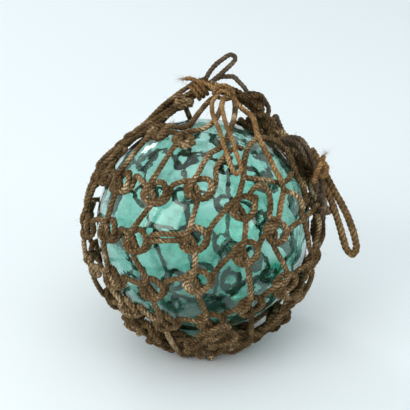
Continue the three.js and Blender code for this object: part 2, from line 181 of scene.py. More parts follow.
SIDE_ROPES = [
    (113, 40, 284), (122, 35, 287), (133, 30, 286), (143, 24, 275), (150, 19, 265), (156, 14, 256),
    (160, 6, 241), (162, -4, 226), (164, -10, 208), (163, -14, 190),
]
CURLED_END = [
    (160, -24, 230), (167, -14, 217), (168, -12, 205), (160, -38, 213), (163, -42, 207),
    (164, -41, 200),
]
SIDE_LEG = [
    (152, -66, 222), (156, -62, 205), (155, -64, 191), (152, -70, 182), (149, -77, 172),
    (146, -84, 160),
]

# Legs that leave the pattern: from a side of a knot, outward along the leg
ODD_LEGS = {
    (-1, 0, "top"): [(-22, -28, 331), (-5, 8, 338), (9, 40, 343), (22, 60, 344)],
    (-1, 1, "top"): [(-7, -35, 329), (3, -32, 331), (13, -20, 334), (22, 8, 338), (27, 40, 342)],
    (0, 2, "top"): [(8, -78, 313), (25, -58, 316), (38, -20, 329), (44, 30, 333), (44, 74, 338)],
    (0, 2, "right"): [(17, -93, 301), (26, -80, 308), (35, -67, 313), (45, -60, 315), (53, -63, 314)],
    (1, 3, "top"): [(52, -96, 292), (53, -84, 303), (57, -66, 313)],
    (1, 3, "right"): [
        (59, -116, 273), (66, -106, 279), (74, -101, 280), (81, -100, 275), (85, -105, 267),
        (86, -113, 256), (85, -122, 245),
    ],
    (2, 4, "right"): [(136, -66, 217), (150, -38, 214), (160, -14, 212)],
    (3, 5, "top"): MOUTH_ARCH[::-1],
}

# The cords that hang free, point by point as in the solids
BIGHT_CORD = 0.0065
HANGING_BIGHT = [
    (0.021, 0.045, 0.350), (0.014, 0.033, 0.346), (0.012, 0.010, 0.343), (0.015, -0.020, 0.339),
    (0.021, -0.042, 0.333), (0.025, -0.061, 0.325), (0.029, -0.076, 0.317),
    (0.033, -0.090, 0.309), (0.037, -0.100, 0.302), (0.042, -0.104, 0.297),
    (0.048, -0.099, 0.301), (0.046, -0.088, 0.308), (0.041, -0.072, 0.318),
    (0.038, -0.059, 0.326), (0.032, -0.041, 0.333), (0.028, -0.015, 0.340),
    (0.026, 0.012, 0.344), (0.028, 0.034, 0.347), (0.031, 0.043, 0.350),
]
BECKET_CORD = 0.011
BECKET_LAY = 0.021
BECKET = [
    (0.153, 0.052, 0.268), (0.161, 0.040, 0.258), (0.169, 0.030, 0.246), (0.177, 0.020, 0.232),
    (0.185, 0.010, 0.219), (0.194, 0.001, 0.205), (0.202, -0.008, 0.191),
    (0.208, -0.016, 0.177), (0.213, -0.022, 0.162), (0.215, -0.027, 0.149),
    (0.210, -0.030, 0.141), (0.202, -0.027, 0.147), (0.197, -0.021, 0.160),
    (0.193, -0.014, 0.173), (0.187, -0.005, 0.190), (0.181, 0.003, 0.206),
    (0.175, 0.010, 0.219), (0.168, 0.018, 0.231), (0.162, 0.026, 0.240), (0.158, 0.034, 0.249),
]


# Rope

# A laid cord's section: each strand has a valley, two shoulders and a crown
STRANDS = 3
SECTION = np.tile([0.76, 0.94, 1.0, 0.94], STRANDS)
ROPE_STEP = 0.0019
ROPE_ROOM = 0.54  # of its diameter, from its middle to what it lies on
SWELL_SCALE = 0.001  # keeps the swell from counting as length
KNOT_SWELL = 1.08
LUMPS_EVERY = 0.01
LUMPS = 0.03  # of the radius
STRAY_STRANDS = 0.02  # of the radius
END_SIZE = (0.08, 0.85)  # of the last two rings
SETS_OUT = (0.3, 0.2, 0.93)  # a way that no rope sets out in

# Loose fibres
FUZZ = 420  # to a metre of rope
FIBRE_WIDTH = 0.00022
FIBRE_LENGTHS = (4, 0.0011)  # shape and scale of their spread, 4.4 mm in the mean
LONGEST_FIBRE = 0.008
FIBRE_LEAN = (0.3, 1.1)  # along the rope, against how far it stands out
FIBRE_SHARES = (0, 0.4, 0.75, 1)  # of its length, where it has a pair of corners
FIBRE_TIP = 0.3  # of its width
FIBRE_BEND = 0.45  # of its length
FIBRE_FOOT = 0.44  # of the rope's diameter, from its middle
FIBRE_GROUND = 0.0006  # the lowest that one may lie
FIBRE_TONE = 0.15  # lighter than its rope
TUFT_SCATTER = 0.0016


def along_line(line):
    """How far along the line each of its points lies."""
    return np.concatenate([[0], np.cumsum(np.linalg.norm(np.diff(line, axis=0), axis=1))])


def smooth_line(points, step):
    """A centripetal Catmull-Rom line through the points, cut into equal steps."""
    p = np.asarray(points, float)
    p = np.vstack([2 * p[0] - p[1], p, 2 * p[-1] - p[-2]])
    t = np.concatenate([[0], np.cumsum(np.linalg.norm(np.diff(p, axis=0), axis=1) ** 0.5)])
    line = []
    for i in range(1, len(p) - 2):
        n = max(4, int(np.linalg.norm(p[i + 1] - p[i]) / step * 2))
        s = np.linspace(t[i], t[i + 1], n, endpoint=False)[:, None]
        a1 = (t[i] - s) / (t[i] - t[i - 1]) * p[i - 1] + (s - t[i - 1]) / (t[i] - t[i - 1]) * p[i]
        a2 = (t[i + 1] - s) / (t[i + 1] - t[i]) * p[i] + (s - t[i]) / (t[i + 1] - t[i]) * p[i + 1]
        a3 = (t[i + 2] - s) / (t[i + 2] - t[i + 1]) * p[i + 1] \
            + (s - t[i + 1]) / (t[i + 2] - t[i + 1]) * p[i + 2]
        b1 = (t[i + 1] - s) / (t[i + 1] - t[i - 1]) * a1 + (s - t[i - 1]) / (t[i + 1] - t[i - 1]) * a2
        b2 = (t[i + 2] - s) / (t[i + 2] - t[i]) * a2 + (s - t[i]) / (t[i + 2] - t[i]) * a3
        line.append((t[i + 1] - s) / (t[i + 1] - t[i]) * b1 + (s - t[i]) / (t[i + 1] - t[i]) * b2)
    line = np.vstack(line + [p[-2:-1]])
    along = along_line(line)
    places = np.linspace(0, along[-1], max(3, round(along[-1] / step) + 1))
    return np.column_stack([np.interp(places, along, line[:, k]) for k in range(line.shape[1])])


def settled(line, room):
    """The line, held off the glass and the ground."""
    out = line - BALL_CENTRE
    reach = np.linalg.norm(out, axis=1)
    out *= (np.maximum(reach, BALL_RADIUS + room) / reach)[:, None]
    line = BALL_CENTRE + out
    line[:, 2] = np.maximum(line[:, 2], room)
    return line


class RopeWork:
    """The surfaces of several ropes and their loose fibres, gathered for one mesh."""

    def __init__(self):
        self.places, self.faces, self.uvs, self.tones, self.count = [], [], [], [], 0

    def add(self, points, diameter, lay, tone=0.5, fuzz=FUZZ):
        """One rope. A fourth number with each point says how much it swells there."""
        points = np.asarray(points, float)
        if points.shape[1] == 3:
            points = np.column_stack([points, np.ones(len(points))])
        points[:, 3] *= SWELL_SCALE
        line = smooth_line(points, ROPE_STEP)
        swell = line[:, 3] / SWELL_SCALE
        line = settled(line[:, :3], diameter * ROPE_ROOM)
        n, m = len(line), len(SECTION)
        tangent = np.gradient(line, axis=0)
        tangent /= np.linalg.norm(tangent, axis=1)[:, None]
        side = np.zeros_like(line)
        first = np.cross(tangent[0], SETS_OUT)
        side[0] = first / np.linalg.norm(first)
        for i in range(1, n):
            s = side[i - 1] - tangent[i] * side[i - 1].dot(tangent[i])
            side[i] = s / np.linalg.norm(s)
        up = np.cross(tangent, side)
        along = along_line(line)
        turn = 2 * np.pi * along / lay + chance.uniform(0, 2 * np.pi)
        angle = turn[:, None] + 2 * np.pi * np.arange(m) / m
        lumps = np.arange(0, along[-1] + 2 * LUMPS_EVERY, LUMPS_EVERY)
        lumpy = 1 + LUMPS * np.interp(along, lumps, chance.normal(size=len(lumps)))
        radius = diameter / 2 * swell * lumpy
        ends = np.minimum(np.arange(n), np.arange(n)[::-1])
        radius = radius * np.where(ends == 0, END_SIZE[0], np.where(ends == 1, END_SIZE[1], 1))
        reach = radius[:, None] * SECTION[None, :] * (1 + STRAY_STRANDS * chance.normal(size=(n, m)))
        places = line[:, None, :] + reach[..., None] * (
            np.cos(angle)[..., None] * side[:, None, :] + np.sin(angle)[..., None] * up[:, None, :])
        ring = np.arange(m)
        a = (np.arange(n - 1)[:, None] * m + ring).ravel()
        b = (np.arange(n - 1)[:, None] * m + (ring + 1) % m).ravel()
        self.faces.append(np.column_stack([a, b, b + m, a + m]) + self.count)
        u0, u1 = np.tile(ring / m, n - 1), np.tile((ring + 1) / m, n - 1)
        v0, v1 = np.repeat(along[:-1], m), np.repeat(along[1:], m)
        self.uvs.append(np.stack([np.stack(p, 1) for p in ((u0, v0), (u1, v0), (u1, v1), (u0, v1))], 1))
        self.places.append(places.reshape(-1, 3))
        self.tones.append(np.full(n * m, tone))
        self.count += n * m
        if fuzz:
            self.fibres_along(line, diameter, fuzz, tone + FIBRE_TONE)
        return line

    def fibres_along(self, line, diameter, fuzz, tone):
        """Fibres that stand out all along a rope."""
        many = int(fuzz * np.linalg.norm(np.diff(line, axis=0), axis=1).sum())
        at = chance.integers(1, len(line) - 1, many)
        tangent = line[at + 1] - line[at - 1]
        tangent /= np.linalg.norm(tangent, axis=1)[:, None]
        radial = np.cross(tangent, chance.normal(size=(many, 3)))
        radial /= np.linalg.norm(radial, axis=1)[:, None]
        lie = tangent * (chance.choice([-1, 1], many) * chance.uniform(*FIBRE_LEAN, many))[:, None]
        lengths = np.minimum(chance.gamma(*FIBRE_LENGTHS, many), LONGEST_FIBRE)
        self.fibres(line[at] + radial * diameter * FIBRE_FOOT, lie + radial, lengths, tone)

    def fibres(self, starts, ways, lengths, tone):
        """Thin curved ribbons that stand out from a rope."""
        many = len(starts)
        ways = ways / np.linalg.norm(ways, axis=1)[:, None]
        bend = chance.normal(scale=FIBRE_BEND, size=(many, 3))
        across = np.cross(ways, chance.normal(size=(many, 3)))
        across *= FIBRE_WIDTH / 2 / np.linalg.norm(across, axis=1)[:, None]
        places = []
        for share in FIBRE_SHARES:
            middle = starts + (ways * share + bend * share ** 2) * lengths[:, None]
            middle[:, 2] = np.maximum(middle[:, 2], FIBRE_GROUND)
            half = across * (1 - (1 - FIBRE_TIP) * share)
            places += [middle - half, middle + half]
        first = self.count + 8 * np.arange(many)
        for k in (0, 2, 4):
            self.faces.append(np.column_stack([first + k, first + k + 1, first + k + 3, first + k + 2]))
            self.uvs.append(np.full((many, 4, 2), (0.5 / STRANDS, 0.01)))
        self.places.append(np.stack(places, 1).reshape(-1, 3))
        self.tones.append(np.full(8 * many, tone))
        self.count += 8 * many

    def tuft(self, at, way, many, length, spread, tone=0.6):
        """The frayed end of a rope."""
        ways = np.asarray(way, float) + chance.normal(scale=spread, size=(many, 3))
        starts = np.asarray(at, float) + chance.normal(scale=TUFT_SCATTER, size=(many, 3))
        self.fibres(starts, ways, length * chance.uniform(0.5, 1.2, many), tone)

    def piece(self, name, material):
        """One mesh of all that was added."""
        mesh = bpy.data.meshes.new(name)
        places, faces = np.vstack(self.places), np.vstack(self.faces)
        mesh.vertices.add(len(places))
        mesh.vertices.foreach_set("co", places.ravel())
        mesh.loops.add(faces.size)
        mesh.loops.foreach_set("vertex_index", faces.ravel().astype(np.int32))
        mesh.polygons.add(len(faces))
        mesh.polygons.foreach_set("loop_start", np.arange(0, faces.size, 4, dtype=np.int32))
        mesh.update(calc_edges=True)
        mesh.uv_layers.new(name="laid").data.foreach_set("uv", np.vstack(self.uvs).ravel())
        tone = mesh.attributes.new("tone", "FLOAT", "POINT")
        tone.data.foreach_set("value", np.concatenate(self.tones))
        mesh.polygons.foreach_set("use_smooth", np.ones(len(faces), bool))
        mesh.materials.append(material)
        piece = bpy.data.objects.new(name, mesh)
        bpy.context.scene.collection.objects.link(piece)
        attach(piece, "root")
        return piece


# Materials

def new_material(name):
    material = bpy.data.materials.new(name)
    material.use_nodes = True
    return material, material.node_tree.nodes["Principled BSDF"]


def add_node(tree, kind, inputs=(), **settings):
    node = tree.nodes.new(kind)
    for key, value in settings.items():
        setattr(node, key, value)
    for key, value in dict(inputs).items():
        if isinstance(value, bpy.types.NodeSocket):
            tree.links.new(value, node.inputs[key])
        else:
            node.inputs[key].default_value = value
    return node


def maths(tree, operation, a, b=0.0):
    return add_node(tree, "ShaderNodeMath", {0: a, 1: b}, operation=operation).outputs[0]


def specks(tree, where, scale, detail, roughness=0.5):
    """Noise from 0 to 1, at about so many specks to a unit of the places."""
    settings = {"Vector": where, "Scale": scale, "Detail": detail, "Roughness": roughness}
    return add_node(tree, "ShaderNodeTexNoise", settings).outputs["Fac"]


def blend(tree, share, first, second):
    """The first colour, which turns to the second as the share goes from 0 to 1."""
    return add_node(tree, "ShaderNodeMix", {0: share, 6: first, 7: second}, data_type="RGBA").outputs[2]


FIBRES_ROUND, FIBRES_LONG = 22.0, 260.0  # round the cord, and to a metre along it
PATCHES = 38.0  # to a metre


def laid_cord_group():
    """Shading of a laid cord: painted shade in the valleys between the strands, and fibres and worn and
    tarry patches whose light and dark are partly painted highlight and painted shade.
    """
    tree = bpy.data.node_groups.new("laid cord", "ShaderNodeTree")
    for way, name, kind in (
            ("INPUT", "Dark", "Color"), ("INPUT", "Mid", "Color"), ("INPUT", "Light", "Color"),
            ("INPUT", "Wear", "Float"), ("OUTPUT", "Color", "Color"),
            ("OUTPUT", "Roughness", "Float"), ("OUTPUT", "Height", "Float")):
        tree.interface.new_socket(name, in_out=way, socket_type="NodeSocket" + kind)
    given = tree.nodes.new("NodeGroupInput")
    uv = add_node(tree, "ShaderNodeUVMap", uv_map="laid")
    split = add_node(tree, "ShaderNodeSeparateXYZ", {0: uv.outputs[0]})
    u, v = split.outputs[0], split.outputs[1]
    phase = maths(tree, "FRACT", maths(tree, "MULTIPLY", u, float(STRANDS)))
    valley = maths(tree, "ABSOLUTE", maths(tree, "SUBTRACT", phase, 0.5))
    turned = maths(tree, "ADD", u, maths(tree, "MULTIPLY", v, 1 / NET_LAY))
    fibre_place = add_node(tree, "ShaderNodeCombineXYZ", {
        0: maths(tree, "MULTIPLY", turned, FIBRES_ROUND),
        1: maths(tree, "MULTIPLY", v, FIBRES_LONG)}).outputs[0]
    fibres = specks(tree, fibre_place, 1.0, 3.0)
    where = add_node(tree, "ShaderNodeTexCoord").outputs["Object"]
    patches = specks(tree, where, PATCHES, 4.0, 0.6)
    tone = add_node(tree, "ShaderNodeAttribute", attribute_name="tone").outputs["Fac"]
    # Light in worn patches and in fine speckles on single fibres, partly painted highlight; painted
    # shade in the valleys
    light = maths(tree, "ADD", maths(tree, "MULTIPLY", patches, 1.1),
                  maths(tree, "MULTIPLY", fibres, 1.2))
    light = maths(tree, "ADD", light, maths(tree, "MULTIPLY", tone, 0.6))
    light = maths(tree, "ADD", maths(tree, "SUBTRACT", light, 1.47), given.outputs["Wear"])
    # Painted shade: darker towards the valleys between the strands
    light = maths(tree, "SUBTRACT", light, maths(tree, "POWER", valley, 2.0))
    # The dark colour, for painted shade and dark patches, turns to mid as the light goes from -0.5 to
    # 0.125, and mid turns to the light colour, for wear and painted highlight, from 0.02 on
    dim = maths(tree, "MULTIPLY", maths(tree, "ADD", light, 0.5), 1.6)
    wear_and_highlight = maths(tree, "MULTIPLY", maths(tree, "SUBTRACT", light, 0.02), 2.8)
    colour = blend(tree, dim, given.outputs["Dark"], given.outputs["Mid"])
    colour = blend(tree, wear_and_highlight, colour, given.outputs["Light"])
    add_node(tree, "NodeGroupOutput", {
        "Color": colour,
        "Roughness": maths(tree, "SUBTRACT", 0.92, maths(tree, "MULTIPLY", patches, 0.25)),
        "Height": maths(tree, "ADD", fibres, maths(tree, "MULTIPLY", valley, -0.6))})
    return tree


LAID_CORD = laid_cord_group()


def cord_material(name, shade_and_dark_patches, mid, light, wear=0.0):
    material, shader = new_material(name)
    tree = material.node_tree
    group = tree.nodes.new("ShaderNodeGroup")
    group.node_tree = LAID_CORD
    # The dark colour is painted shade in the valleys and the dark patches; the light colour is partly
    # painted highlight
    for key, value in (("Dark", shade_and_dark_patches), ("Mid", mid), ("Light", light)):
        group.inputs[key].default_value = (*value, 1)
    group.inputs["Wear"].default_value = wear
    tree.links.new(group.outputs["Color"], shader.inputs["Base Color"])
    tree.links.new(group.outputs["Roughness"], shader.inputs["Roughness"])
    bump = add_node(tree, "ShaderNodeBump", {
        "Strength": 0.5, "Distance": 0.0006, "Height": group.outputs["Height"]})
    tree.links.new(bump.outputs[0], shader.inputs["Normal"])
    shader.inputs["Specular IOR Level"].default_value = 0.15
    return material


# Each cord's dark is mostly painted shade and its light partly painted highlight; the mid is the cord's
# own colour
NET_ROPE = cord_material(
    "net rope", shade_and_dark_patches=(0.014, 0.008, 0.002), mid=(0.190, 0.116, 0.050), light=(0.80, 0.62, 0.39))
TARRY_ROPE = cord_material(
    "tarry rope", shade_and_dark_patches=(0.030, 0.022, 0.015), mid=(0.150, 0.105, 0.066), light=(0.46, 0.37, 0.26))
GOLDEN_CORD = cord_material(
    "golden cord", shade_and_dark_patches=(0.060, 0.030, 0.010), mid=(0.270, 0.148, 0.056), light=(0.70, 0.46, 0.22),
    wear=0.02)
BECKET_ROPE = cord_material(
    "becket rope", shade_and_dark_patches=(0.040, 0.024, 0.010), mid=(0.190, 0.110, 0.044), light=(0.48, 0.32, 0.15))


PALE_GLASS = (0.72, 0.91, 0.87, 1)
DEEP_GLASS = (0.34, 0.72, 0.61, 1)
DIRT_FILM = (0.20, 0.43, 0.35, 1)
STREAK_GREEN = (0.02, 0.42, 0.28, 1)
STREAK_AT = (0.101, -0.110, 0.167)  # where the blown glass is thick
STREAK_FLATNESS = (1, 1, 2.4)
STREAK_EDGES = (0.052, 0.016)  # where it begins and where it is full, from its middle


def glass_material():
    material, shader = new_material("sea-green glass")
    tree = material.node_tree
    shader.inputs["Transmission Weight"].default_value = 0.99
    shader.inputs["IOR"].default_value = 1.5
    shader.inputs["Specular IOR Level"].default_value = 0.38
    where = add_node(tree, "ShaderNodeTexCoord").outputs["Object"]
    clouds = specks(tree, where, 9.0, 3.0)
    smears = specks(tree, where, 26.0, 6.0, 0.65)
    # Deeper green low down, and cloudy
    height = add_node(tree, "ShaderNodeSeparateXYZ", {0: where}).outputs[2]
    depth = maths(tree, "MULTIPLY", maths(tree, "SUBTRACT", 0.25, height), 1.8)
    cloudy = maths(tree, "MULTIPLY", maths(tree, "SUBTRACT", clouds, 0.5), 2.2)
    depth = maths(tree, "ADD", maths(tree, "ADD", depth, cloudy), 0.4)
    # The streak
    away = where
    for operation, by in (("SUBTRACT", STREAK_AT), ("MULTIPLY", STREAK_FLATNESS)):
        away = add_node(tree, "ShaderNodeVectorMath", {0: away, 1: by}, operation=operation).outputs[0]
    away = add_node(tree, "ShaderNodeVectorMath", {0: away}, operation="LENGTH").outputs["Value"]
    thick = add_node(tree, "ShaderNodeMapRange", {
        0: away, 1: STREAK_EDGES[0], 2: STREAK_EDGES[1], 3: 0.0, 4: 0.9}).outputs[0]
    thick = maths(tree, "MULTIPLY", thick, maths(tree, "MULTIPLY", smears, 1.6))
    # The film of dried dirt
    film = add_node(tree, "ShaderNodeMapRange", {0: smears, 1: 0.51, 2: 0.68, 3: 0.0, 4: 0.9}).outputs[0]
    colour = blend(tree, depth, PALE_GLASS, DEEP_GLASS)
    colour = blend(tree, film, colour, DIRT_FILM)
    tree.links.new(blend(tree, thick, colour, STREAK_GREEN), shader.inputs["Base Color"])
    tree.links.new(maths(tree, "MULTIPLY", film, 0.10), shader.inputs["Roughness"])
    bump = add_node(tree, "ShaderNodeBump", {
        "Strength": 1.0, "Distance": 0.00018, "Height": specks(tree, where, 85.0, 1.5)})
    tree.links.new(bump.outputs[0], shader.inputs["Normal"])
    return material


# Camera

CAMERA_RISE = math.radians(27)
CAMERA_DISTANCE = 1.357
PHOTO_SIDE = 410  # pixels
FOCAL_PIXELS = 957.6
MIDDLE_PIXEL = (203, 225)  # where the lens axis meets the picture


def make_camera():
    data = bpy.data.cameras.new("camera")
    data.sensor_width = 36
    data.lens = FOCAL_PIXELS / PHOTO_SIDE * data.sensor_width
    data.shift_x = (PHOTO_SIDE / 2 - MIDDLE_PIXEL[0]) / PHOTO_SIDE
    data.shift_y = (MIDDLE_PIXEL[1] - PHOTO_SIDE / 2) / PHOTO_SIDE
    camera = bpy.data.objects.new("camera", data)
    back = Vector((0, -math.cos(CAMERA_RISE), math.sin(CAMERA_RISE)))
    camera.location = Vector(BALL_CENTRE) + back * CAMERA_DISTANCE
    camera.rotation_euler = (-back).to_track_quat("-Z", "Y").to_euler()
    bpy.context.scene.collection.objects.link(camera)
    bpy.context.scene.camera = camera


make_camera()


# The cords that hang free

def free_cord(name, route, diameter, lay, material):
    """A cord that hangs free, with its loose fibres as a piece beside it."""
    work, loose = RopeWork(), RopeWork()
    line = work.add(route, diameter, lay, tone=0.6, fuzz=0)
    cord = work.piece(name, material)
    loose.fibres_along(line, diameter, 2 * FUZZ, 0.8)
    fibres = loose.piece(name + "_fibres", material)
    for piece in (cord, fibres):
        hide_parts(name)


free_cord("hanging_bight", HANGING_BIGHT, BIGHT_CORD, NET_LAY, GOLDEN_CORD)
free_cord("becket_loop", BECKET, BECKET_CORD, BECKET_LAY, BECKET_ROPE)


# The net

FIRST_COLUMN = -1
LAST_COLUMN = FIRST_COLUMN + KNOTS_ROUND - 1


def ease(value, low, high):
    """From 0 to 1 as the value goes from low to high, with a soft start and end."""
    x = min(1, max(0, (value - low) / (high - low)))
    return x * x * (3 - 2 * x)


def lift_at(north):
    """How far the net stands off the glass at so many degrees north."""
    upper = SIDE_LIFT + (CLOSE_LIFT - SIDE_LIFT) * ease(north, *CLOSE_NORTH)
    return upper + (LOOSE_LIFT - upper) * ease(-north, *LOOSE_SOUTH)


def knot_angles(turn, column):
    """Degrees east and north of a knot, or None where the net has no knot."""
    slip = SLIPPED.get((turn, column))
    east = FRONT_COLUMN_EAST + 360 / KNOTS_ROUND * (column - FRONT_COLUMN)
    rise = SPIRAL_ROUNDS * ROUND_STEP / KNOTS_ROUND
    north = FRONT_COLUMN_NORTH - ROUND_STEP * turn + rise * (column - FRONT_COLUMN)
    if slip:
        east, north = east + slip[0], north + slip[1]
    highest = HIGHEST_SLIPPED_KNOT if slip else HIGHEST_KNOT
    return (east, north) if LOWEST_KNOT <= north <= highest else None


def over_ball(east, north, lift):
    e, n = math.radians(east), math.radians(north)
    outward = np.array((math.sin(e) * math.cos(n), -math.cos(e) * math.cos(n), math.sin(n)))
    return BALL_CENTRE + outward * (BALL_RADIUS + lift)


def unit(v):
    return v / np.linalg.norm(v)


def right_of(key):
    """The next knot on the spiral."""
    turn, column = key
    if column == LAST_COLUMN:
        return turn - SPIRAL_ROUNDS, column + 1 - KNOTS_ROUND
    return turn, column + 1


def left_of(key):
    turn, column = key
    if column == FIRST_COLUMN:
        return turn + SPIRAL_ROUNDS, LAST_COLUMN
    return turn, column - 1


knots = {}
for turn in TURNS:
    for column in range(FIRST_COLUMN, LAST_COLUMN + 1):
        found = knot_angles(turn, column)
        if found:
            knots[turn, column] = over_ball(*found, lift_at(found[1]))


def knot_frame(key):
    """A knot's ways to the right, up and out, turned to the legs that it has."""
    centre = knots[key]
    outward = unit(centre - BALL_CENTRE)
    east = np.cross((0, 0, 1), outward)
    right, above = knots.get(right_of(key)), knots.get((key[0] - 1, key[1]))
    if right is not None:
        east = east + unit(right - centre)
    if above is not None:
        east = east + np.cross(unit(above - centre), outward)
    east = unit(east - outward * east.dot(outward))
    return east, np.cross(outward, east), outward


# One knot of the net, in millimetres to the right, up and out from its middle. The cord from
# the left runs down through the ring that the cord from the top makes.
FROM_LEFT = [
    (-18.5, 7.6, 4.5), (-11.4, 6.0, 1.0), (-7.3, 1.1, 0), (-1.0, -8.0, 0),
    (1.4, -15.2, -1.5), (0.4, -23.2, 4.0),
]
FROM_TOP = [
    (-7.4, 18.8, 5.0), (-13.8, 4.1, 5.2), (-15.5, -7.6, 2.0), (-10.0, -15.5, -1.0), (0, -18.5, -2.0),
    (10.0, -15.0, 0), (17.5, -7.0, 2.0), (19.5, 3.0, 3.5), (16.0, 12.0, 3.0), (8.0, 17.0, 1.0),
    (-1.0, 17.0, -1.5), (-10.0, 13.0, -3.0), (-18.5, 7.0, -3.0), (-22.0, -1.0, -1.0),
    (-20.5, -10.0, 1.5), (-13.0, -17.5, 4.0), (-3.0, -20.0, 4.0), (8.0, -19.0, 0), (17.0, -12.0, -3.5),
    (22.0, -2.0, -4.0), (23.0, 8.0, -3.0), (25.0, 15.0, -1.0),
]
DRAWN_KNOT_HALF = 0.022
DRAWN_KNOT_DEPTH = 1.25  # stretched outward
KNOT_TURN = math.radians(-8)  # the drawn knot stands this far round in its own frame


def knot_cords(centre, axes, size, turn, shake=KNOT_SHAKE):
    """The two cords of a knot, as lists of places."""
    east, north, outward = axes
    angle = KNOT_TURN + turn
    across = math.cos(angle) * east + math.sin(angle) * north
    along = math.cos(angle) * north - math.sin(angle) * east
    found = []
    for cord in (FROM_LEFT, FROM_TOP):
        u, v, w = np.array(cord, float).T * 0.001 * size
        w = w * DRAWN_KNOT_DEPTH - (u ** 2 + v ** 2) / (2 * BALL_RADIUS)
        places = centre + u[:, None] * across + v[:, None] * along + w[:, None] * outward
        places = places + chance.normal(scale=shake, size=places.shape)
        swell = np.full(len(places), KNOT_SWELL)
        swell[[0, -1]] = 1
        found.append(np.column_stack([places, swell]))
    return found


made_knots = {}
for key in knots:
    size = chance.uniform(*KNOT_SIZE)
    if key[0] == TOP_TURN:
        size *= TOP_KNOT_SIZE
    if key == SMALL_KNOT:
        size *= SMALL_KNOT_SIZE
    made_knots[key] = knot_cords(knots[key], knot_frame(key), size, chance.normal(scale=KNOT_TWIST))


def in_metres(route):
    return np.array(route, float) * 0.001


def plain(places):
    """Places of a stretch of rope that doesn't swell."""
    return np.column_stack([places, np.ones(len(places))])


MOUTH_STEP = 0.006
MOUTH_EDGE = smooth_line(in_metres(MOUTH_START + [at for at, _ in MOUTH_BUNCHES]), MOUTH_STEP)
BUNDLE_LINE = smooth_line(in_metres(BUNDLE), MOUTH_STEP)
MOUTH_PLACES = np.vstack([BUNDLE_LINE, MOUTH_EDGE])


def mouth_leg(key):
    """A leg of the top round runs to the nearest place along the mouth."""
    start = made_knots[key][1][0, :3]
    end = MOUTH_PLACES[np.argmin(np.linalg.norm(MOUTH_PLACES - start, axis=1))]
    end = end + chance.normal(scale=MOUTH_SPREAD, size=3)
    places = []
    for share in (0.35, 0.7, 1):
        out = start + (end - start) * share - BALL_CENTRE
        places.append(BALL_CENTRE + unit(out) * max(np.linalg.norm(out), BALL_RADIUS + TOP_LEG_LIFT))
    return plain(places)


def start_leg(key):
    """A leg of the lowest round runs in to the bunched start."""
    out = knots[key] - START_CENTRE
    out = unit(np.array((out[0], out[1], 0)))
    return plain([START_CENTRE + out * radius + (0, 0, height) for radius, height in START_LEG])


def odd_leg(key, side):
    """The route of a leg that leaves the pattern, or None."""
    route = ODD_LEGS.get((*key, side))
    return None if route is None else plain(in_metres(route))


def cord_from(key, way):
    """Follows one cord down the ball, in from the left and out below, then in from the top and
    out to the right, and so on, and returns its places."""
    odd = odd_leg(key, way)
    if odd is None and way == "top":
        odd = mouth_leg(key)
    places = [] if odd is None else [odd[::-1]]
    while True:
        places.append(made_knots[key][0 if way == "left" else 1])
        side, way = ("bottom", "top") if way == "left" else ("right", "left")
        after = (key[0] + 1, key[1]) if side == "bottom" else right_of(key)
        odd = odd_leg(key, side)
        if odd is not None:
            if key in LEG_OVER:
                places.append(odd)
                key, way = LEG_OVER[key], "top"
                continue
            return np.vstack(places + [odd])
        if after not in knots:
            if side == "bottom":
                places.append(start_leg(key))
            return np.vstack(places)
        key = after


def cords_of_net():
    """All the cords. Each begins at a knot with no leg from above, or with none from the left."""
    starts = [(key, "top") for key in sorted(knots) if (key[0] - 1, key[1]) not in knots]
    starts += [(key, "left") for key in sorted(knots)
               if left_of(key) not in knots or (*left_of(key), "right") in ODD_LEGS]
    return [cord_from(key, way) for key, way in starts if key != SMALL_KNOT]


def knot_on(work, at, half, turn, tone, lean=0.0):
    """A further knot of the same cord, drawn up small, for the bunched places."""
    at = np.asarray(at, float)
    outward = unit(at - BALL_CENTRE)
    level = unit(np.array((outward[0], outward[1], 0)))
    outward = unit(outward + lean * level + chance.normal(scale=BUNCHED_KNOT_TILT, size=3))
    east = unit(np.cross((0, 0, 1), outward))
    axes = (east, np.cross(outward, east), outward)
    left, top = knot_cords(at, axes, half / DRAWN_KNOT_HALF, turn, shake=BUNCHED_KNOT_SHAKE)
    work.add(top, NET_CORD, NET_LAY, tone=tone)
    work.add(left, NET_CORD, NET_LAY, tone=tone)


def beside(line, wind, phase):
    """A line that winds loosely round another."""
    radius, turns = wind
    share = np.linspace(0, 1, len(line))
    tangent = np.gradient(line, axis=0)
    tangent /= np.linalg.norm(tangent, axis=1)[:, None]
    side = np.cross(tangent, (0.2, -0.5, 0.8))
    side /= np.linalg.norm(side, axis=1)[:, None]
    up = np.cross(tangent, side)
    angle = (2 * np.pi * (turns * share + phase))[:, None]
    return line + radius * (np.cos(angle) * side + np.sin(angle) * up)


